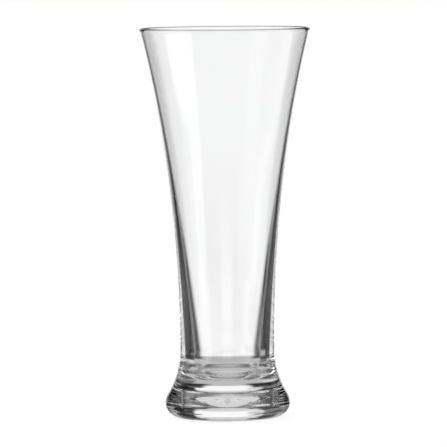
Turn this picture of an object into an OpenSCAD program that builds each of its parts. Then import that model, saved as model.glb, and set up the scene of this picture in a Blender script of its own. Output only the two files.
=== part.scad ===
// Flared pilsner glass with a heavy footed base, in clear glass.
// The origin is the centre of the ring that the glass stands on, with +Z up to the mouth.
// Every piece is round about Z, so each is an outline of radius and height, turned once.

/* [Bowl] */
// Height from the table to the top of the lip
glass_h = 182; // [150:1:220]
// Outer radius at the mouth
mouth_r = 39.9; // [32:0.1:48]
// Outer radius at the waist, the narrowest place, where the bowl meets the foot
waist_r = 22.05; // [20:0.05:25]
// Height of the waist above the table
waist_z = 32; // [28:0.5:40]
// Power of the flare: 1 is a straight cone and more keeps the widening for the top
flare_power = 2.1; // [1:0.05:3.5]

/* [Wall] */
// Thickness of the wall at the lip
lip_wall = 1.3; // [0.9:0.05:2.5]
// Thickness of the wall at the waist
waist_wall = 6; // [4.5:0.1:7.5]
// Power of the thinning: more brings the wall down to the lip's thickness sooner
thinning_power = 2.9; // [1:0.1:5]

/* [Hollow] */
// Height of the hollow's floor above the table
floor_z = 16.3; // [14:0.1:20]
// Radius of the flat middle of the hollow's floor
floor_r = 9.5; // [4:0.25:12]
// Height over which the hollow's side turns into its floor
corner_h = 13.7; // [8:0.1:16]
// Power of that corner: 2 is an ellipse and more is squarer
corner_power = 2.55; // [2:0.05:4]

/* [Foot] */
// Outer radius of the foot at its widest
foot_r = 29.2; // [27:0.1:34]
// Height above the table of the foot's widest line
foot_z = 6.6; // [4:0.1:10]
// Radius of the rounded shoulder above the widest line
shoulder_r = 8.5; // [5:0.25:14]
// Width of the rounded heel under the widest line
heel_w = 7.4; // [3:0.1:9]
// Width of the flat ring that the glass stands on
ring_w = 2.1; // [1:0.1:4]
// Depth of the hollow under the foot, in the middle of the ring
punt_h = 4.2; // [1:0.1:7]
// Power of that hollow: 2 is a shallow dome and more is flatter with a steeper edge
punt_power = 2; // [1.5:0.1:4]

/* [Seam] */
// Width of the level ledge at the waist on which the bowl is set on the foot
ledge_w = 2.85; // [1.5:0.05:3.5]
// Thickness of the bowl's own bottom under the hollow's floor
bottom_wall = 3.8; // [2:0.1:5]
// Radius of the rounded edge of the bowl's bottom, and of the seat in the foot
seat_round = 6; // [2:0.25:8]

/* [Hidden] */
$fn = 180;

// Numbers of steps along the outlines
wall_steps = 48;
corner_steps = 18;
lip_steps = 12;
seat_steps = 12;
heel_steps = 16;
shoulder_steps = 10;
flank_steps = 22;
punt_steps = 20;

// Lip: a half circle across the wall's top
lip_r = lip_wall / 2;
lip_z = glass_h - lip_r;

// Hollow: its corner starts on the wall at this height
corner_z = floor_z + corner_h;

// Seat: the bowl's bottom and the pocket in the foot share these
seat_r = waist_r - ledge_w;
seat_z = floor_z - bottom_wall;

// Foot: the standing ring, and the hollow arc that joins waist and shoulder
ring_outer_r = foot_r - heel_w;
ring_inner_r = ring_outer_r - ring_w;
foot_step = foot_r - waist_r;
foot_rise = waist_z - foot_z;
flank_r = (foot_step * foot_step + foot_rise * foot_rise) / (2 * foot_step) - shoulder_r;
shoulder_turn = atan2(foot_rise, waist_r + flank_r - foot_r + shoulder_r);

glass_colour = [0.91, 0.95, 0.96, 0.45];

// Share of the way from the waist to the lip, by height
function up_share(z) = max(0, (z - waist_z) / (lip_z - waist_z));

// Outer radius of the wall at a height above the waist
function outer_r(z) = waist_r + (mouth_r - waist_r) * pow(up_share(z), flare_power);

// Thickness of the wall at a height, measured level
function wall(z) = lip_wall + (waist_wall - lip_wall) * pow(1 - up_share(z), thinning_power);

// Inner radius of the wall at a height
function inner_r(z) = outer_r(z) - wall(z);

// Points of an arc about a centre, from one angle to another
function arc(centre, r, from, to, steps) = [
    for (i = [0 : steps])
        let (a = from + (to - from) * i / steps)
        [centre[0] + r * cos(a), centre[1] + r * sin(a)]
];

// The wall's outside, from the waist up to the lip
function outside() = [
    for (i = [0 : wall_steps])
        let (z = waist_z + (lip_z - waist_z) * i / wall_steps)
        [outer_r(z), z]
];

// The wall's inside, from the lip down to where the corner starts
function inside() = [
    for (i = [0 : wall_steps])
        let (z = lip_z + (corner_z - lip_z) * i / wall_steps)
        [inner_r(z), z]
];

// The hollow's corner, a squared ellipse from its side to its floor
function corner() = [
    for (i = [1 : corner_steps])
        let (a = 90 * i / corner_steps)
        let (across_share = pow(cos(a), 2 / corner_power))
        let (down_share = pow(sin(a), 2 / corner_power))
        [floor_r + (inner_r(corner_z) - floor_r) * across_share, corner_z - corner_h * down_share]
];

// The seat's surface, from the axis out along the bottom and up to the ledge at the waist
function seat() = concat(
    [[0, seat_z]],
    arc([seat_r - seat_round, seat_z + seat_round], seat_round, -90, 0, seat_steps),
    [[seat_r, waist_z]]
);

// The heel, a quarter ellipse from the standing ring out to the widest line
function heel() = [
    for (i = [0 : heel_steps])
        let (a = 90 * i / heel_steps)
        [ring_outer_r + heel_w * sin(a), foot_z * (1 - cos(a))]
];

// The hollow under the foot, from the middle out to the standing ring
function punt() = [
    for (i = [0 : punt_steps])
        let (out_share = i / punt_steps)
        [ring_inner_r * out_share, punt_h * (1 - pow(out_share, punt_power))]
];

// Bowl: the flared wall with its rounded lip and its own thick, rounded bottom
module bowl() {
    color(glass_colour)
        rotate_extrude()
            polygon(concat(
                seat(),
                outside(),
                arc([outer_r(lip_z) - lip_r, lip_z], lip_r, 0, 180, lip_steps),
                inside(),
                corner(),
                [[0, floor_z]]
            ));
}

// Foot: the heavy solid base with the seat that takes the bowl's bottom
module foot() {
    seat_points = seat();
    seat_last = len(seat_points) - 1;
    color(glass_colour)
        rotate_extrude()
            polygon(concat(
                punt(),
                heel(),
                arc([foot_r - shoulder_r, foot_z], shoulder_r, 0, shoulder_turn, shoulder_steps),
                arc([waist_r + flank_r, waist_z], flank_r, 180 + shoulder_turn, 180, flank_steps),
                [for (i = [seat_last : -1 : 0]) seat_points[i]]
            ));
}

foot();
bowl();
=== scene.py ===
"""A footed pilsner glass in clear glass, dressed over its frame.

Two turned bodies stand for the two pieces of the glass: the flared bowl and the heavy foot.
Each is an outline of radius and height carried once round Z. Lengths are in metres and the
origin is the centre of the ring that the glass stands on.
"""

import logging
import math
from dataclasses import dataclass
from enum import Enum
from typing import Sequence, Union

import bpy
import numpy as np
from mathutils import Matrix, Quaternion, Vector


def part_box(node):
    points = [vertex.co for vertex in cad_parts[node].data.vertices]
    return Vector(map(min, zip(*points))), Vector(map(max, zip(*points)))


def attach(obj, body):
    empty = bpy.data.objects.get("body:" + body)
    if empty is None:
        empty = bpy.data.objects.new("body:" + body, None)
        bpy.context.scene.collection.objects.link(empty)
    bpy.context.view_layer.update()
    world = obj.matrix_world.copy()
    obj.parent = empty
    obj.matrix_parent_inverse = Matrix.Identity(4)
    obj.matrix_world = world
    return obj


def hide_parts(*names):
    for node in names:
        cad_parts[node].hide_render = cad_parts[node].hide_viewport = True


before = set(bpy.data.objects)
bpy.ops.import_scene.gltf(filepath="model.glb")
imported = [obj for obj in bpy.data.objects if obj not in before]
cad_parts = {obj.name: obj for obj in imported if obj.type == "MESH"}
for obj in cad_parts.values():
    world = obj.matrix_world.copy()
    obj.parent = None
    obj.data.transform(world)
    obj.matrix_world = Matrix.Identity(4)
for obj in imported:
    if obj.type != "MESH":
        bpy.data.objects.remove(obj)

MM = 0.001
SAME_PLACE = 1e-9
FULL_TURN = 2 * math.pi
QUARTER_TURN = math.pi / 2
HALF_TURN_DEGREES = 180.0
WHITE = (1.0, 1.0, 1.0, 1.0)
LIGHT_BOUNCES = 32
CLEAR_BOUNCES = 64

Source = Union[bpy.types.NodeSocket, float, tuple]
Colour = tuple[float, float, float]

log = logging.getLogger("pilsner")


class Surface(Enum):
    """The two kinds of surface on a turned body, in the order of its material slots."""

    POLISHED = 0
    SEAM = 1


@dataclass(frozen=True)
class Strand:
    """A smooth stretch of an outline.

    Attributes:
        points: Radius and height of its points, one row each, in metres.
        surface: What the faces turned from it are.
    """

    points: np.ndarray
    surface: Surface = Surface.POLISHED

    def reversed(self) -> "Strand":
        """The same stretch, run the other way."""
        return Strand(self.points[::-1].copy(), self.surface)

    def normals(self) -> np.ndarray:
        """Unit normals on the right of the way along the stretch.

        The way along is the derivative of the points by their arc length, and the normal is
        that way turned a quarter to the right: (height's rate, minus radius's rate).

        Returns:
            One row of radial and upward parts for each point.
        """
        steps = np.linalg.norm(np.diff(self.points, axis=0), axis=1)
        along = np.concatenate([[0.0], np.cumsum(steps)])
        rate = np.gradient(self.points, along, axis=0, edge_order=2 if len(along) > 2 else 1)
        across = np.stack([rate[:, 1], -rate[:, 0]], axis=1)
        return across / np.linalg.norm(across, axis=1, keepdims=True)


def joined(*stretches: np.ndarray) -> np.ndarray:
    """Runs of points as one, without the points that two runs share.

    Args:
        *stretches: Arrays of radius and height, each starting where the last one ends.

    Returns:
        One array of radius and height.
    """
    points = np.concatenate(stretches)
    apart = np.linalg.norm(np.diff(points, axis=0), axis=1) > SAME_PLACE
    return points[np.concatenate([[True], apart])]


def arc(
    centre: tuple[float, float], radius: float, start: float, end: float, steps: int
) -> np.ndarray:
    """Points of a circle about a centre: centre plus radius times (cosine, sine).

    Args:
        centre: Radius and height of the circle's centre.
        radius: The circle's radius.
        start: First angle, in radians from the outward direction.
        end: Last angle.
        steps: Number of steps between them.

    Returns:
        One row of radius and height for each point.
    """
    turn = np.linspace(start, end, steps + 1)
    return np.stack([centre[0] + radius * np.cos(turn), centre[1] + radius * np.sin(turn)], axis=1)


@dataclass(frozen=True)
class GlassSizes:
    """The glass's own sizes, in metres, and the powers of its curves."""

    height: float
    mouth_radius: float
    foot_radius: float
    waist_radius: float = 22.05 * MM
    waist_height: float = 32.0 * MM
    flare_power: float = 2.1
    lip_wall: float = 1.3 * MM
    waist_wall: float = 6.0 * MM
    thinning_power: float = 2.9
    floor_height: float = 16.3 * MM
    floor_radius: float = 9.5 * MM
    corner_height: float = 13.7 * MM
    corner_power: float = 2.55
    widest_height: float = 6.6 * MM
    shoulder_radius: float = 8.5 * MM
    heel_width: float = 7.4 * MM
    ring_width: float = 2.1 * MM
    punt_height: float = 4.2 * MM
    punt_power: float = 2.0
    ripple_height: float = 0.1 * MM
    ripple_count: int = 6
    ledge_width: float = 2.85 * MM
    bottom_wall: float = 3.8 * MM
    seat_round: float = 6.0 * MM

    @property
    def lip_radius(self) -> float:
        """Radius of the rounded lip, half the wall there."""
        return self.lip_wall / 2

    @property
    def lip_height(self) -> float:
        """Height at which the wall passes into the lip."""
        return self.height - self.lip_radius

    @property
    def corner_top(self) -> float:
        """Height at which the hollow's side starts to turn into its floor."""
        return self.floor_height + self.corner_height

    @property
    def ring_outer_radius(self) -> float:
        """Outside radius of the ring that the glass stands on."""
        return self.foot_radius - self.heel_width

    @property
    def ring_inner_radius(self) -> float:
        """Inside radius of that ring."""
        return self.ring_outer_radius - self.ring_width

    def up_share(self, heights: np.ndarray) -> np.ndarray:
        """Share of the way from the waist to the lip, none below the waist."""
        rise = (heights - self.waist_height) / (self.lip_height - self.waist_height)
        return np.clip(rise, 0.0, 1.0)

    def outer(self, heights: np.ndarray) -> np.ndarray:
        """Outer radius of the wall: the waist's, plus the flare times the share to its power."""
        flare = self.mouth_radius - self.waist_radius
        return self.waist_radius + flare * self.up_share(heights) ** self.flare_power

    def inner(self, heights: np.ndarray) -> np.ndarray:
        """Inner radius: the outer one less a wall that thins from the waist up to the lip."""
        thinning = (1.0 - self.up_share(heights)) ** self.thinning_power
        return self.outer(heights) - self.lip_wall - (self.waist_wall - self.lip_wall) * thinning


@dataclass(frozen=True)
class Outline:
    """The stretches of the glass's outline, worked out from its sizes.

    Attributes:
        sizes: The glass's sizes.
        seat_steps: Steps round the edge of the seat.
        wall_points: Points along each side of the wall.
        lip_steps: Steps over the lip.
        corner_points: Points round the hollow's corner.
        floor_points: Points along the hollow's floor.
        punt_points: Points along the hollow under the foot.
        ring_points: Points along the standing ring.
        heel_points: Points round the heel.
        shoulder_steps: Steps round the shoulder.
        flank_steps: Steps along the flank.
    """

    sizes: GlassSizes
    seat_steps: int = 16
    wall_points: int = 96
    lip_steps: int = 16
    corner_points: int = 60
    floor_points: int = 8
    punt_points: int = 96
    ring_points: int = 4
    heel_points: int = 40
    shoulder_steps: int = 24
    flank_steps: int = 48

    def seat(self) -> Strand:
        """The seat that bowl and foot share.

        A level bottom, a quarter circle up its edge, a plain side and a level ledge out to the waist.

        Returns:
            The stretch, from the axis out to the waist.
        """
        s = self.sizes
        radius, low = s.waist_radius - s.ledge_width, s.floor_height - s.bottom_wall
        centre = (radius - s.seat_round, low + s.seat_round)
        edge = arc(centre, s.seat_round, -QUARTER_TURN, 0.0, self.seat_steps)
        points = joined(
            np.array([[0.0, low]]),
            edge,
            np.array([[radius, s.waist_height], [s.waist_radius, s.waist_height]]),
        )
        return Strand(points, Surface.SEAM)

    def wall(self) -> Strand:
        """The bowl's wall: up its outside, over the lip and down to the middle of the floor.

        The lip is a half circle. The hollow's corner is a squared ellipse: its radius and depth
        follow the cosine and sine, each to twice the power's inverse.

        Returns:
            The stretch, from the waist round to the axis.
        """
        s = self.sizes
        up = np.linspace(s.waist_height, s.lip_height, self.wall_points)
        down = np.linspace(s.lip_height, s.corner_top, self.wall_points)
        lip_centre = (float(s.outer(up[-1:])[0]) - s.lip_radius, s.lip_height)
        lip = arc(lip_centre, s.lip_radius, 0.0, math.pi, self.lip_steps)
        turn = np.linspace(0.0, QUARTER_TURN, self.corner_points)
        across_share = np.abs(np.cos(turn)) ** (2 / s.corner_power)
        down_share = np.sin(turn) ** (2 / s.corner_power)
        side = float(s.inner(down[-1:])[0])
        corner = np.stack(
            [
                s.floor_radius + (side - s.floor_radius) * across_share,
                s.corner_top - s.corner_height * down_share,
            ],
            axis=1,
        )
        floor_radii = np.linspace(s.floor_radius, 0.0, self.floor_points)
        floor = np.stack([floor_radii, np.full_like(floor_radii, s.floor_height)], axis=1)
        points = joined(
            np.stack([s.outer(up), up], axis=1),
            lip,
            np.stack([s.inner(down), down], axis=1),
            corner,
            floor,
        )
        return Strand(points)

    def punt(self) -> Strand:
        """The shallow hollow under the foot: its height falls with a power of the radius.

        Faint rings from the pressing ride on it, a cosine of the radius that dies out at the edge.

        Returns:
            The stretch, from the axis out to the standing ring.
        """
        s = self.sizes
        out_share = np.linspace(0.0, 1.0, self.punt_points)
        ripple = s.ripple_height * np.cos(FULL_TURN * s.ripple_count * out_share)
        heights = s.punt_height * (1.0 - out_share**s.punt_power) + ripple * (1.0 - out_share)
        return Strand(np.stack([s.ring_inner_radius * out_share, heights], axis=1))

    def side(self) -> Strand:
        """The foot's side: standing ring, heel, shoulder and hollow flank, up to the waist.

        The heel is a quarter ellipse, the shoulder a circle and the flank a larger circle that
        curves the other way and meets the waist upright.

        Returns:
            The stretch, from the standing ring's inside up to the waist.
        """
        s = self.sizes
        turn = np.linspace(0.0, QUARTER_TURN, self.heel_points)
        heel = np.stack(
            [
                s.ring_outer_radius + s.heel_width * np.sin(turn),
                s.widest_height * (1.0 - np.cos(turn)),
            ],
            axis=1,
        )
        step = s.foot_radius - s.waist_radius
        rise = s.waist_height - s.widest_height
        flank_radius = (step**2 + rise**2) / (2 * step) - s.shoulder_radius
        flank_centre = (s.waist_radius + flank_radius, s.waist_height)
        shoulder_centre = (s.foot_radius - s.shoulder_radius, s.widest_height)
        bend = math.atan2(rise, flank_centre[0] - shoulder_centre[0])
        shoulder = arc(shoulder_centre, s.shoulder_radius, 0.0, bend, self.shoulder_steps)
        flank = arc(flank_centre, flank_radius, math.pi + bend, math.pi, self.flank_steps)
        ring_radii = np.linspace(s.ring_inner_radius, s.ring_outer_radius, self.ring_points)
        ring = np.stack([ring_radii, np.zeros_like(ring_radii)], axis=1)
        return Strand(joined(ring, heel, shoulder, flank))


@dataclass(frozen=True)
class TurnedBody:
    """A closed body turned once round Z from stretches that run from the axis to the axis.

    Attributes:
        name: The piece's name.
        strands: Its stretches in order, each starting where the last one ends.
        segments: Number of segments round the axis.
    """

    name: str
    strands: Sequence[Strand]
    segments: int = 320

    def build(self) -> bpy.types.Object:
        """Turns the outline into a mesh with a pole at each end.

        Corner normals come from the outline's own, turned in the same way as its points, so the
        surface is as smooth as its formula.

        Returns:
            The object, linked to the scene.
        """
        outline = joined(*(strand.points for strand in self.strands))
        turn = np.linspace(0.0, FULL_TURN, self.segments, endpoint=False)
        circle = np.stack([np.cos(turn), np.sin(turn)], axis=1)
        firsts, lasts, surfaces = self._steps()
        mesh = self._mesh(self._places(outline, circle), len(outline) - 2, surfaces)
        mesh.normals_split_custom_set(self._corner_normals(firsts, lasts, circle))
        piece = bpy.data.objects.new(self.name, mesh)
        bpy.context.scene.collection.objects.link(piece)
        return piece

    def _places(self, outline: np.ndarray, circle: np.ndarray) -> np.ndarray:
        """The body's points: rings from one end of the outline to the other, then both poles.

        A point at a radius and height becomes a ring of (radius times cosine, radius times sine,
        height).

        Args:
            outline: Radius and height of each point of the outline.
            circle: Cosine and sine of each turn round the axis.

        Returns:
            One row of three lengths for each point.
        """
        rings = outline[1:-1]
        places = np.empty((len(rings), self.segments, 3))
        places[..., :2] = rings[:, None, :1] * circle[None]
        places[..., 2] = rings[:, 1:]
        poles = np.array([[0.0, 0.0, outline[0, 1]], [0.0, 0.0, outline[-1, 1]]])
        return np.concatenate([places.reshape(-1, 3), poles])

    def _mesh(self, places: np.ndarray, rings: int, surfaces: np.ndarray) -> bpy.types.Mesh:
        """The body's mesh: four-sided faces between rings, and three-sided ones at the poles.

        Args:
            places: The body's points.
            rings: Number of rings among them.
            surfaces: Surface number of each step of the outline.

        Returns:
            The mesh, with its faces' materials set.
        """
        grid = np.arange(rings * self.segments).reshape(rings, self.segments)
        ahead = np.roll(grid, -1, axis=1)
        quads = np.stack([grid[:-1], ahead[:-1], ahead[1:], grid[1:]], axis=-1).reshape(-1, 4)
        first_pole = np.full(self.segments, rings * self.segments)
        start_fan = np.stack([first_pole, ahead[0], grid[0]], axis=1)
        end_fan = np.stack([first_pole + 1, grid[-1], ahead[-1]], axis=1)
        loops = np.concatenate([quads.ravel(), start_fan.ravel(), end_fan.ravel()])
        sides = np.concatenate([np.full(len(quads), 4), np.full(2 * self.segments, 3)])
        starts = np.concatenate([[0], np.cumsum(sides)[:-1]])
        slots = np.repeat(np.concatenate([surfaces[1:-1], surfaces[:1], surfaces[-1:]]), self.segments)
        mesh = bpy.data.meshes.new(self.name)
        mesh.vertices.add(len(places))
        mesh.vertices.foreach_set("co", places.ravel())
        mesh.loops.add(len(loops))
        mesh.loops.foreach_set("vertex_index", loops.astype(np.int32))
        mesh.polygons.add(len(sides))
        mesh.polygons.foreach_set("loop_start", starts.astype(np.int32))
        mesh.polygons.foreach_set("loop_total", sides.astype(np.int32))
        mesh.polygons.foreach_set("material_index", slots.astype(np.int32))
        mesh.polygons.foreach_set("use_smooth", np.ones(len(sides), bool))
        mesh.update(calc_edges=True)
        return mesh

    def _corner_normals(
        self, firsts: np.ndarray, lasts: np.ndarray, circle: np.ndarray
    ) -> np.ndarray:
        """Normals at the corners of every face, in the order of the faces.

        Args:
            firsts: Outline normals at the first end of each step of the outline.
            lasts: Outline normals at the last end of each step.
            circle: Cosine and sine of each turn round the axis.

        Returns:
            One row of three parts for each corner.
        """
        between = len(firsts) - 2
        here = np.tile(np.arange(self.segments), between)
        step = np.repeat(np.arange(1, between + 1), self.segments)
        after = np.roll(circle, -1, axis=0)
        near, far = circle[here], after[here]
        sides = [
            turned(firsts[step], near),
            turned(firsts[step], far),
            turned(lasts[step], far),
            turned(lasts[step], near),
        ]
        start = [turned(firsts[:1], circle), turned(lasts[:1], after), turned(lasts[:1], circle)]
        end = [turned(lasts[-1:], circle), turned(firsts[-1:], circle), turned(firsts[-1:], after)]
        return np.concatenate(
            [np.stack(corners, axis=1).reshape(-1, 3) for corners in (sides, start, end)]
        )

    def _steps(self) -> tuple[np.ndarray, np.ndarray, np.ndarray]:
        """Outline normals at the two ends of every step of the outline, and each step's surface.

        Returns:
            Normals at the steps' first ends, normals at their last ends, and surface numbers.
        """
        firsts, lasts, surfaces = [], [], []
        for strand in self.strands:
            normals = strand.normals()
            firsts.append(normals[:-1])
            lasts.append(normals[1:])
            surfaces.append(np.full(len(normals) - 1, strand.surface.value))
        return np.concatenate(firsts), np.concatenate(lasts), np.concatenate(surfaces)


def turned(across: np.ndarray, circle: np.ndarray) -> np.ndarray:
    """Outline normals carried round the axis.

    Args:
        across: Radial and upward parts, one row for each turn or one for all.
        circle: Cosine and sine of each turn.

    Returns:
        Normals in space, one row each.
    """
    across = np.broadcast_to(across, circle.shape)
    return np.concatenate([across[:, :1] * circle, across[:, 1:]], axis=1)


class Nodes:
    """A node tree with short calls to fill it.

    Attributes:
        COLOUR_SOCKETS: First input, second input and output of a mix of colours, by number,
            because the sockets of every kind of mix share their names.
        FLOAT_SOCKETS: The same for a mix of values.
    """

    COLOUR_SOCKETS = (6, 7, 2)
    FLOAT_SOCKETS = (2, 3, 0)

    def __init__(self, tree: bpy.types.NodeTree) -> None:
        """Starts on a tree, which is emptied first."""
        self.tree = tree
        tree.nodes.clear()

    def add(self, kind: str, **settings: object) -> bpy.types.Node:
        """Adds a node.

        Args:
            kind: The node's type.
            **settings: Its own settings, by name.

        Returns:
            The node.
        """
        node = self.tree.nodes.new(kind)
        for name, value in settings.items():
            setattr(node, name, value)
        return node

    def feed(self, socket: bpy.types.NodeSocket, source: Source) -> None:
        """Links a socket to another, or sets its plain value.

        Args:
            socket: The input.
            source: The output that feeds it, or a number, vector or colour.
        """
        if isinstance(source, bpy.types.NodeSocket):
            self.tree.links.new(source, socket)
        else:
            socket.default_value = source

    def feed_all(self, node: bpy.types.Node, sources: dict[str, Source]) -> None:
        """Feeds a node's inputs by their names."""
        for name, source in sources.items():
            self.feed(node.inputs[name], source)

    def math(self, operation: str, *sources: Source) -> bpy.types.NodeSocket:
        """Works out one value from one or two others.

        Args:
            operation: The name of the sum, such as MULTIPLY.
            *sources: What goes into it, in order.

        Returns:
            The result.
        """
        node = self.add("ShaderNodeMath", operation=operation)
        for socket, source in zip(node.inputs, sources):
            self.feed(socket, source)
        return node.outputs[0]

    def smooth(
        self, value: Source, start: Source, end: Source, low: Source = 0.0, high: Source = 1.0
    ) -> bpy.types.NodeSocket:
        """A soft step between two levels.

        Args:
            value: The value that the step follows.
            start: Where the step starts.
            end: Where it ends, above or below the start.
            low: Level before the start.
            high: Level past the end.

        Returns:
            The level.
        """
        node = self.add("ShaderNodeMapRange", interpolation_type="SMOOTHSTEP")
        levels = {"Value": value, "From Min": start, "From Max": end, "To Min": low, "To Max": high}
        self.feed_all(node, levels)
        return node.outputs[0]

    def noise(self, vector: Source, scale: Source, detail: float) -> bpy.types.NodeSocket:
        """A soft random field between 0 and 1.

        Args:
            vector: The place that it is read at.
            scale: Number of its patches to the metre.
            detail: Number of finer layers on it.

        Returns:
            The field's value.
        """
        node = self.add("ShaderNodeTexNoise")
        self.feed_all(node, {"Vector": vector, "Scale": scale, "Detail": detail})
        return node.outputs[0]

    def mixed(
        self, share: Source, first: Source, second: Source, colours: bool = False
    ) -> bpy.types.NodeSocket:
        """Two values or two colours mixed.

        Args:
            share: Share of the second.
            first: The first.
            second: The second.
            colours: Whether they are colours.

        Returns:
            The mix.
        """
        node = self.add("ShaderNodeMix", data_type="RGBA" if colours else "FLOAT")
        low, high, out = self.COLOUR_SOCKETS if colours else self.FLOAT_SOCKETS
        self.feed(node.inputs["Factor"], share)
        self.feed(node.inputs[low], first)
        self.feed(node.inputs[high], second)
        return node.outputs[out]


@dataclass(frozen=True)
class SharedGroup:
    """A shader node group with named sockets, and what is needed to fill it.

    Attributes:
        tree: The group.
        nodes: Its nodes.
        given: Its inputs.
        put: Its outputs.
    """

    tree: bpy.types.NodeTree
    nodes: Nodes
    given: bpy.types.NodeOutputs
    put: bpy.types.NodeInputs

    @classmethod
    def empty(
        cls, name: str, inputs: dict[str, Source | None], outputs: dict[str, str]
    ) -> "SharedGroup":
        """Makes a group without nodes between its inputs and its outputs.

        Args:
            name: The group's name.
            inputs: Default of each input: a number, a colour, or None for a vector.
            outputs: Socket type of each output.

        Returns:
            The group.
        """
        tree = bpy.data.node_groups.new(name, "ShaderNodeTree")
        nodes = Nodes(tree)
        for label, default in inputs.items():
            kind = "NodeSocketFloat"
            if default is None:
                kind = "NodeSocketVector"
            elif isinstance(default, tuple):
                kind = "NodeSocketColor"
            socket = tree.interface.new_socket(label, in_out="INPUT", socket_type=kind)
            if default is not None:
                socket.default_value = default
        for label, kind in outputs.items():
            tree.interface.new_socket(label, in_out="OUTPUT", socket_type=kind)
        given = nodes.add("NodeGroupInput").outputs
        return cls(tree, nodes, given, nodes.add("NodeGroupOutput").inputs)


@dataclass(frozen=True)
class Waviness:
    """The faint swell that blowing and pressing leave on a polished surface.

    Attributes:
        stretch: How close together the swells lie along each axis.
        detail: Number of finer layers on them.
    """

    stretch: tuple[float, float, float] = (1.0, 1.0, 0.35)
    detail: float = 0.0

    def build(self) -> bpy.types.NodeTree:
        """Builds the group that gives the swell's height, between 0 and 1.

        Returns:
            The group.
        """
        group = SharedGroup.empty(
            "glass waviness", {"Vector": None, "Scale": 1.0}, {"Height": "NodeSocketFloat"}
        )
        nodes = group.nodes
        drawn = nodes.add("ShaderNodeMapping")
        nodes.feed_all(drawn, {"Vector": group.given["Vector"], "Scale": self.stretch})
        field = nodes.noise(drawn.outputs[0], group.given["Scale"], self.detail)
        nodes.feed(group.put["Height"], field)
        return group.tree


@dataclass(frozen=True)
class Haze:
    """Roughness of handling: a trace all over, and scuffs on the ring that the glass stands on.

    Attributes:
        trace_scale: Number of the trace's patches to the metre.
        trace_detail: Number of finer layers on them.
        trace_range: Noise at which the trace starts, and at which it is full.
        grain_scale: Number of the scuffs' grains to the metre.
        grain_detail: Number of finer layers on them.
        grain_range: Noise at which a grain starts, and at which it is full.
        grain_least: Share of the scuffing between the grains.
        scuff_height: Height above the table at which the scuffing ends, in metres.
    """

    trace_scale: float = 45.0
    trace_detail: float = 2.0
    trace_range: tuple[float, float] = (0.45, 0.75)
    grain_scale: float = 900.0
    grain_detail: float = 3.0
    grain_range: tuple[float, float] = (0.4, 0.7)
    grain_least: float = 0.25
    scuff_height: float = 0.4 * MM

    def build(self) -> bpy.types.NodeTree:
        """Builds the group that gives the roughness.

        Returns:
            The group.
        """
        group = SharedGroup.empty(
            "glass haze",
            {"Vector": None, "Trace": 0.0, "Scuff": 0.0, "Scuff height": self.scuff_height},
            {"Roughness": "NodeSocketFloat"},
        )
        nodes, given = group.nodes, group.given
        patches = nodes.noise(given["Vector"], self.trace_scale, self.trace_detail)
        trace = nodes.smooth(patches, *self.trace_range, 0.0, given["Trace"])
        apart = nodes.add("ShaderNodeSeparateXYZ")
        nodes.feed(apart.inputs[0], given["Vector"])
        low = nodes.smooth(apart.outputs["Z"], given["Scuff height"], 0.0)
        grains = nodes.noise(given["Vector"], self.grain_scale, self.grain_detail)
        grain = nodes.smooth(grains, *self.grain_range, self.grain_least, 1.0)
        scuff = nodes.math("MULTIPLY", nodes.math("MULTIPLY", low, grain), given["Scuff"])
        nodes.feed(group.put["Roughness"], nodes.math("ADD", trace, scuff))
        return group.tree


@dataclass(frozen=True)
class Tint:
    """Colour of the glass: nearly water-white, drifting a little with the streaks of the melt.

    Attributes:
        streak_scale: Number of the streaks to the metre.
        streak_detail: Number of finer layers on them.
    """

    streak_scale: float = 25.0
    streak_detail: float = 1.0

    def build(self) -> bpy.types.NodeTree:
        """Builds the group that gives the colour.

        Returns:
            The group.
        """
        group = SharedGroup.empty(
            "glass tint",
            {"Vector": None, "Clear": WHITE, "Deep": WHITE},
            {"Color": "NodeSocketColor"},
        )
        nodes, given = group.nodes, group.given
        streaks = nodes.noise(given["Vector"], self.streak_scale, self.streak_detail)
        colour = nodes.mixed(streaks, given["Clear"], given["Deep"], colours=True)
        nodes.feed(group.put["Color"], colour)
        return group.tree


class GlassEffects:
    """The node groups that both glass finishes use, each built once."""

    def __init__(self) -> None:
        """Builds the groups."""
        self.waviness = Waviness().build()
        self.haze = Haze().build()
        self.tint = Tint().build()


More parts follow.
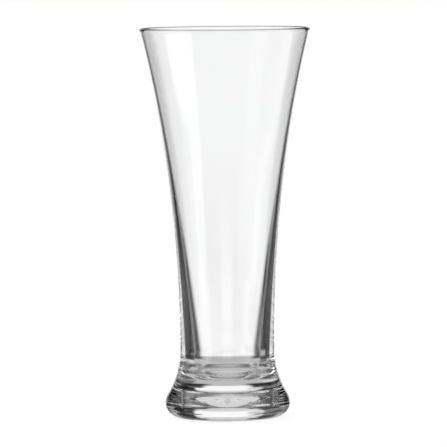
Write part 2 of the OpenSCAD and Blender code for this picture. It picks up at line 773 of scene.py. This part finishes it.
@dataclass(frozen=True)
class GlassFinish:
    """Clear polished glass, or its hidden seam where the two pieces are one body of glass.

    Attributes:
        name: The material's name.
        index: Its index of refraction.
        swell: Height of the waviness, in metres.
        swell_scale: How many swells there are to the metre.
        trace: Most roughness of the handling haze.
        scuff: Roughness of the scuffed standing ring.
        clear: Colour where the glass is lightest.
        deep: Colour where it is deepest.
    """

    name: str
    index: float = 1.52
    swell: float = 0.0
    swell_scale: float = 60.0
    trace: float = 0.0
    scuff: float = 0.0
    clear: Colour = (1.0, 1.0, 1.0)
    deep: Colour = (0.985, 0.99, 0.99)

    def polished(self, effects: GlassEffects) -> bpy.types.Material:
        """The finish of the glass's open surfaces.

        Args:
            effects: The shared node groups.

        Returns:
            The material.
        """
        material, nodes, shader = self._glass(self.name)
        place = nodes.add("ShaderNodeTexCoord").outputs["Object"]
        tint = nodes.add("ShaderNodeGroup", node_tree=effects.tint)
        clear, deep = (*self.clear, 1.0), (*self.deep, 1.0)
        nodes.feed_all(tint, {"Vector": place, "Clear": clear, "Deep": deep})
        haze = nodes.add("ShaderNodeGroup", node_tree=effects.haze)
        nodes.feed_all(haze, {"Vector": place, "Trace": self.trace, "Scuff": self.scuff})
        waviness = nodes.add("ShaderNodeGroup", node_tree=effects.waviness)
        nodes.feed_all(waviness, {"Vector": place, "Scale": self.swell_scale})
        bump = nodes.add("ShaderNodeBump")
        height = waviness.outputs["Height"]
        nodes.feed_all(bump, {"Strength": 1.0, "Distance": self.swell, "Height": height})
        nodes.feed(shader.inputs["Base Color"], tint.outputs["Color"])
        nodes.feed(shader.inputs["Roughness"], haze.outputs["Roughness"])
        nodes.feed(shader.inputs["Normal"], bump.outputs["Normal"])
        return material

    def seam(self) -> bpy.types.Material:
        """The seam inside the glass, where light passes straight on from piece to piece.

        Returns:
            The material.
        """
        material, _, shader = self._glass(self.name + " seam")
        shader.inputs["Roughness"].default_value = 0.0
        shader.inputs["Alpha"].default_value = 0.0
        return material

    def _glass(self, name: str) -> tuple[bpy.types.Material, Nodes, bpy.types.Node]:
        """A plain clear glass.

        Args:
            name: The material's name.

        Returns:
            The material, its nodes and its shader.
        """
        material = bpy.data.materials.new(name)
        material.use_nodes = True
        nodes = Nodes(material.node_tree)
        shader = nodes.add("ShaderNodeBsdfPrincipled")
        shader.inputs["Transmission Weight"].default_value = 1.0
        shader.inputs["Metallic"].default_value = 0.0
        shader.inputs["IOR"].default_value = self.index
        nodes.feed(nodes.add("ShaderNodeOutputMaterial").inputs["Surface"], shader.outputs[0])
        return material, nodes, shader


@dataclass(frozen=True)
class PilsnerGlass:
    """The whole glass: bowl and foot, each closed, sharing their seat.

    Attributes:
        sizes: The glass's sizes.
        bowl_finish: Finish of the bowl.
        foot_finish: Finish of the foot.
    """

    sizes: GlassSizes
    bowl_finish: GlassFinish
    foot_finish: GlassFinish

    def build(self) -> list[bpy.types.Object]:
        """Builds both pieces, dresses them and sets them on the frame.

        Returns:
            The foot and the bowl.
        """
        outline = Outline(self.sizes)
        effects = GlassEffects()
        seat = outline.seat()
        foot = TurnedBody("foot_glass", (outline.punt(), outline.side(), seat.reversed()))
        bowl = TurnedBody("bowl_glass", (seat, outline.wall()))
        return [
            self._dressed(foot, "foot", self.foot_finish, effects),
            self._dressed(bowl, "bowl", self.bowl_finish, effects),
        ]

    def _dressed(
        self, body: TurnedBody, node: str, finish: GlassFinish, effects: GlassEffects
    ) -> bpy.types.Object:
        """Builds one piece, gives it its two surfaces and sets it in the place of its node.

        Args:
            body: The piece's shape.
            node: Name of the node that it stands for.
            finish: The piece's finish.
            effects: The shared node groups.

        Returns:
            The piece.
        """
        piece = body.build()
        piece.data.materials.append(finish.polished(effects))
        piece.data.materials.append(finish.seam())
        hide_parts(node)
        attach(piece, "root")
        return piece


@dataclass(frozen=True)
class Card:
    """A panel or a black flag of the studio, by the directions that it fills.

    Attributes:
        name: What it is in the studio.
        azimuth: Direction of its middle in degrees, from behind the glass round to the left.
        half_width: Half of its width in degrees.
        lower: Elevation of its lower edge in degrees.
        upper: Elevation of its upper edge in degrees.
        level: Its brightness, where 1 is white.
        side_edge: Softness of its upright edges in degrees.
        level_edge: Softness of its lower and upper edges in degrees.
    """

    name: str
    azimuth: float
    half_width: float
    lower: float
    upper: float
    level: float
    side_edge: float
    level_edge: float


@dataclass(frozen=True)
class Studio:
    """Soft panels and black flags round the glass, seen only in and through it.

    Attributes:
        level: Brightness of the room between them.
        cards: The panels and flags, each laid over the ones before.
    """

    level: float
    cards: Sequence[Card]

    def build(self) -> bpy.types.World:
        """Makes the world's light, which the camera itself sees as plain white.

        Returns:
            The world.
        """
        world = bpy.data.worlds.new("studio")
        world.use_nodes = True
        nodes = Nodes(world.node_tree)
        apart = nodes.add("ShaderNodeSeparateXYZ")
        nodes.feed(apart.inputs[0], nodes.add("ShaderNodeTexCoord").outputs["Generated"])
        across, ahead, up = apart.outputs
        turn = nodes.math("ARCTAN2", nodes.math("MULTIPLY", across, -1.0), ahead)
        azimuth = nodes.math("DEGREES", turn)
        elevation = nodes.math("DEGREES", nodes.math("ARCSINE", up))
        group = self._card_group()
        light: Source = self.level
        for card in self.cards:
            mask = nodes.add("ShaderNodeGroup", node_tree=group, label=card.name)
            nodes.feed_all(
                mask,
                {
                    "Azimuth": azimuth,
                    "Elevation": elevation,
                    "Middle": card.azimuth,
                    "Half width": card.half_width,
                    "Lower": card.lower,
                    "Upper": card.upper,
                    "Side edge": card.side_edge,
                    "Level edge": card.level_edge,
                },
            )
            light = nodes.mixed(mask.outputs["Mask"], light, card.level)
        seen = nodes.add("ShaderNodeLightPath").outputs["Is Camera Ray"]
        shown = nodes.mixed(seen, light, 1.0)
        colour = nodes.add("ShaderNodeCombineColor")
        for socket in colour.inputs:
            nodes.feed(socket, shown)
        back = nodes.add("ShaderNodeBackground")
        nodes.feed(back.inputs["Color"], colour.outputs[0])
        nodes.feed(nodes.add("ShaderNodeOutputWorld").inputs["Surface"], back.outputs[0])
        bpy.context.scene.world = world
        return world

    def _card_group(self) -> bpy.types.NodeTree:
        """Builds the mask of a card, which is 1 inside it and falls softly to 0 over its edges.

        Returns:
            The group.
        """
        names = ("Azimuth", "Elevation", "Middle", "Half width", "Lower", "Upper")
        names += ("Side edge", "Level edge")
        group = SharedGroup.empty(
            "studio card", {name: 0.0 for name in names}, {"Mask": "NodeSocketFloat"}
        )
        nodes = group.nodes
        azimuth, elevation, middle, half_width, lower, upper, side, level = (
            group.given[name] for name in names
        )
        away = nodes.math("PINGPONG", nodes.math("SUBTRACT", azimuth, middle), HALF_TURN_DEGREES)
        wide = nodes.math("SUBTRACT", 1.0, self._past(nodes, away, half_width, side))
        above = self._past(nodes, elevation, lower, level)
        below = nodes.math("SUBTRACT", 1.0, self._past(nodes, elevation, upper, level))
        mask = nodes.math("MULTIPLY", nodes.math("MULTIPLY", wide, above), below)
        nodes.feed(group.put["Mask"], mask)
        return group.tree

    @staticmethod
    def _past(nodes: Nodes, value: Source, limit: Source, edge: Source) -> bpy.types.NodeSocket:
        """How far a value is past a limit, from 0 to 1 over a soft edge across the limit.

        Args:
            nodes: The nodes to add to.
            value: The value.
            limit: The limit.
            edge: Width of the soft edge.

        Returns:
            The share.
        """
        half = nodes.math("MULTIPLY", edge, 0.5)
        start = nodes.math("SUBTRACT", limit, half)
        return nodes.smooth(value, start, nodes.math("ADD", limit, half))


@dataclass(frozen=True)
class Table:
    """The pale table top, white to the camera, with the glass's own soft shadow.

    Attributes:
        radius: Radius of the modelled round of it.
        fade_start: Radius from which the shadow fades out.
        fade_end: Radius at which it has gone.
        gap: How far it lies under the glass.
        glow: Share of the white that the shadow doesn't reach.
        paleness: Colour of the part that takes the shadow.
        rings: Number of rings of faces.
        segments: Number of segments round it.
    """

    radius: float = 3.0
    fade_start: float = 0.3
    fade_end: float = 0.45
    gap: float = 0.05 * MM
    glow: float = 0.86
    paleness: float = 0.5
    rings: int = 8
    segments: int = 96

    def build(self) -> bpy.types.Object:
        """Makes the table's round and its material.

        A point at a share of the radius becomes a ring of (radius times cosine, radius times sine).

        Returns:
            The object.
        """
        share = np.linspace(1.0 / self.rings, 1.0, self.rings)[:, None]
        turn = np.linspace(0.0, FULL_TURN, self.segments, endpoint=False)[None]
        across, along = self.radius * share * np.cos(turn), self.radius * share * np.sin(turn)
        flat = np.stack([across, along, np.full_like(across, -self.gap)], axis=-1).reshape(-1, 3)
        grid = np.arange(len(flat)).reshape(self.rings, self.segments)
        ahead = np.roll(grid, -1, axis=1)
        quads = np.stack([grid[:-1], grid[1:], ahead[1:], ahead[:-1]], axis=-1).reshape(-1, 4)
        middle = np.full(self.segments, len(flat))
        fan = np.stack([middle, grid[0], ahead[0]], axis=1)
        vertices = np.concatenate([flat, [[0.0, 0.0, -self.gap]]])
        mesh = bpy.data.meshes.new("table_top")
        mesh.from_pydata(vertices.tolist(), [], quads.tolist() + fan.tolist())
        table = bpy.data.objects.new("table_top", mesh)
        bpy.context.scene.collection.objects.link(table)
        mesh.materials.append(self._material())
        return table

    def _material(self) -> bpy.types.Material:
        """White to the camera where no shadow falls. All else sees the studio's own table card.

        Returns:
            The material.
        """
        material = bpy.data.materials.new("table")
        material.use_nodes = True
        nodes = Nodes(material.node_tree)
        flatten = nodes.add("ShaderNodeVectorMath", operation="LENGTH")
        nodes.feed(flatten.inputs[0], nodes.add("ShaderNodeTexCoord").outputs["Object"])
        radius = flatten.outputs["Value"]
        fade = nodes.smooth(radius, self.fade_start, self.fade_end)
        shaded = nodes.add("ShaderNodeBsdfDiffuse")
        nodes.feed(shaded.inputs["Color"], (self.paleness,) * 3 + (1.0,))
        to_camera = self._mixed(
            nodes,
            fade,
            self._summed(nodes, shaded.outputs[0], self._glowing(nodes, self.glow)),
            self._glowing(nodes, 1.0),
        )
        to_glass = nodes.add("ShaderNodeBsdfTransparent").outputs[0]
        seen = nodes.add("ShaderNodeLightPath").outputs["Is Camera Ray"]
        surface = self._mixed(nodes, seen, to_glass, to_camera)
        nodes.feed(nodes.add("ShaderNodeOutputMaterial").inputs["Surface"], surface)
        return material

    @staticmethod
    def _glowing(nodes: Nodes, strength: float) -> bpy.types.NodeSocket:
        """A white glow.

        Args:
            nodes: The nodes to add to.
            strength: Its strength, where 1 is white.

        Returns:
            The shader.
        """
        node = nodes.add("ShaderNodeEmission")
        nodes.feed(node.inputs["Strength"], strength)
        return node.outputs[0]

    @staticmethod
    def _mixed(nodes: Nodes, share: Source, first: Source, second: Source) -> bpy.types.NodeSocket:
        """Two shaders mixed.

        Args:
            nodes: The nodes to add to.
            share: Share of the second.
            first: The first.
            second: The second.

        Returns:
            The mix.
        """
        node = nodes.add("ShaderNodeMixShader")
        for socket, source in zip(node.inputs, (share, first, second)):
            nodes.feed(socket, source)
        return node.outputs[0]

    @staticmethod
    def _summed(nodes: Nodes, first: Source, second: Source) -> bpy.types.NodeSocket:
        """Two shaders added.

        Args:
            nodes: The nodes to add to.
            first: The first.
            second: The second.

        Returns:
            The sum.
        """
        node = nodes.add("ShaderNodeAddShader")
        for socket, source in zip(node.inputs, (first, second)):
            nodes.feed(socket, source)
        return node.outputs[0]


@dataclass(frozen=True)
class Viewpoint:
    """The camera.

    Attributes:
        place: Where it stands, in metres.
        aim: The point that it looks at.
        roll: Its turn about its own line of sight, in degrees.
        sensor: Width of its sensor, in millimetres.
        lens: Focal length, in millimetres.
        reach: Nearest and farthest distance that it sees, in metres.
    """

    place: tuple[float, float, float] = (0.0, -2.2005, 0.2319)
    aim: tuple[float, float, float] = (-0.0013, 0.0, 0.0906)
    roll: float = -0.49
    sensor: float = 36.0
    lens: float = 380.1
    reach: tuple[float, float] = (0.05, 50.0)

    def build(self) -> bpy.types.Object:
        """Makes the camera and puts it to use.

        Returns:
            The camera.
        """
        data = bpy.data.cameras.new("camera")
        data.sensor_width = self.sensor
        data.lens = self.lens
        data.clip_start, data.clip_end = self.reach
        camera = bpy.data.objects.new("camera", data)
        bpy.context.scene.collection.objects.link(camera)
        camera.location = self.place
        camera.rotation_mode = "QUATERNION"
        level = (Vector(self.aim) - Vector(self.place)).to_track_quat("-Z", "Y")
        camera.rotation_quaternion = level @ Quaternion((0.0, 0.0, 1.0), math.radians(self.roll))
        bpy.context.scene.camera = camera
        return camera


STUDIO = Studio(
    level=0.06,
    cards=(
        # Ceiling, the lamp straight over the glass and the lit wall on the left
        Card("ceiling", 0.0, 181.0, 34.0, 91.0, 0.2, 12.0, 14.0),
        Card("lamp overhead", 0.0, 181.0, 68.0, 91.0, 0.9, 4.0, 12.0),
        Card("left wall", 90.0, 45.0, 30.0, 62.0, 0.55, 16.0, 12.0),
        # Table: lit all round, shaded behind the glass but for its middle and two corners
        Card("table", 0.0, 181.0, -91.0, -18.0, 0.8, 4.0, 6.0),
        Card("table shade", 0.0, 85.0, -91.0, -14.0, 0.28, 24.0, 6.0),
        Card("table middle", 0.0, 40.0, -91.0, -14.0, 0.52, 24.0, 6.0),
        Card("table left corner", 46.0, 15.0, -31.0, -20.0, 0.68, 8.0, 5.0),
        Card("table right corner", -45.0, 16.0, -31.0, -20.0, 0.15, 8.0, 5.0),
        # Table straight under the glass, and a dark band round it low down, darkest on the near side
        # Painted shadow of the glass on the table straight under it, darker than the lit table
        Card("under the glass", 0.0, 181.0, -91.0, -50.0, 0.5, 4.0, 6.0),
        Card("low dark band front", 180.0, 85.0, -58.0, -46.0, 0.1, 20.0, 4.0),
        Card("low dark band back", 0.0, 40.0, -60.0, -46.0, 0.28, 16.0, 4.0),
        # Back panel, brightest in its middle and narrow above
        Card("back panel top", 0.0, 15.0, 10.0, 54.0, 0.58, 6.0, 12.0),
        Card("back panel", 0.0, 22.0, -13.0, 16.0, 0.7, 8.0, 8.0),
        Card("back panel middle", 0.5, 24.5, -8.0, 4.0, 1.02, 4.0, 3.0),
        Card("back panel left edge", 20.0, 7.0, -4.0, 2.0, 0.6, 6.0, 3.0),
        # Side panels, the panel round the camera and the corner behind it
        Card("front right panel", -135.0, 18.0, -24.0, -10.0, 0.85, 8.0, 5.0),
        Card("left panel", 93.0, 13.0, -12.0, 8.0, 0.85, 8.0, 5.0),
        Card("right panel", -93.0, 13.0, -12.0, 8.0, 0.85, 8.0, 5.0),
        Card("front panel", 180.0, 14.0, -12.0, 4.0, 0.85, 8.0, 5.0),
        # Black flags on both sides of the back panel, and their feet
        Card("left flag", 38.0, 12.0, 8.0, 26.0, 0.0, 6.0, 8.0),
        Card("left flag foot", 40.0, 12.0, -8.0, 6.0, 0.18, 6.0, 6.0),
        Card("right flag", -38.0, 14.0, -8.0, 24.0, 0.0, 6.0, 8.0),
        Card("left low flag", 40.0, 26.0, -20.0, -7.0, 0.02, 10.0, 4.0),
        Card("right low flag", -42.0, 28.0, -20.0, -7.0, 0.02, 10.0, 4.0),
        Card("back panel foot", 0.0, 16.0, -14.0, -6.0, 1.0, 9.0, 4.0),
        # Narrow flags at the panel's low corners, which draw the bowl's outline
        Card("left narrow flag", 25.0, 7.0, -10.0, -5.0, 0.12, 4.0, 2.0),
        Card("right narrow flag", -25.0, 7.0, -10.0, -5.0, 0.1, 4.0, 2.0),
        # Soft boxes outside the flags
        Card("left soft box", 65.0, 16.0, 0.0, 20.0, 0.44, 10.0, 8.0),
        Card("right soft box", -65.0, 14.0, -3.0, 18.0, 0.45, 8.0, 8.0),
        Card("left soft box foot", 62.0, 12.0, -9.0, -3.0, 0.38, 8.0, 4.0),
        Card("right soft box foot", -58.0, 14.0, -12.0, -6.0, 0.4, 8.0, 4.0),
        # Strip lights in front, which draw the upright streaks on the bowl
        Card("left strip low", 108.0, 22.0, -28.0, -18.0, 1.8, 4.0, 4.0),
        Card("left strip", 120.0, 10.0, -18.0, -8.0, 1.6, 4.0, 4.0),
        Card("right strip low", -130.0, 12.0, -28.0, -19.0, 1.1, 5.0, 4.0),
        Card("right strip", -118.0, 14.0, -19.0, -9.0, 1.1, 5.0, 4.0),
        Card("right strip side", -86.0, 18.0, -21.0, -14.0, 1.0, 5.0, 4.0),
    ),
)
BOWL_FINISH = GlassFinish("bowl glass", swell=0.004 * MM, trace=0.004)
FOOT_FINISH = GlassFinish("foot glass", swell=0.004 * MM, trace=0.004, scuff=0.08)


def glass_sizes() -> GlassSizes:
    """The glass's sizes, with height, mouth and foot from the frame's own boxes.

    Returns:
        The sizes.
    """
    _, bowl_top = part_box("bowl")
    _, foot_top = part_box("foot")
    return GlassSizes(height=bowl_top.z, mouth_radius=bowl_top.x, foot_radius=foot_top.x)


def main() -> None:
    """Builds, dresses and places everything in order, and reports each piece."""
    logging.basicConfig(level=logging.INFO, format="%(name)s: %(message)s")
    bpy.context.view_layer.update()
    bpy.context.scene.view_settings.view_transform = "Standard"
    cycles = bpy.context.scene.cycles
    cycles.max_bounces = cycles.transmission_bounces = cycles.glossy_bounces = LIGHT_BOUNCES
    cycles.transparent_max_bounces = CLEAR_BOUNCES
    glass = PilsnerGlass(glass_sizes(), BOWL_FINISH, FOOT_FINISH)
    for piece in glass.build():
        log.info("%s: %d faces", piece.name, len(piece.data.polygons))
    STUDIO.build()
    Table().build()
    Viewpoint().build()


if __name__ == "__main__":
    main()
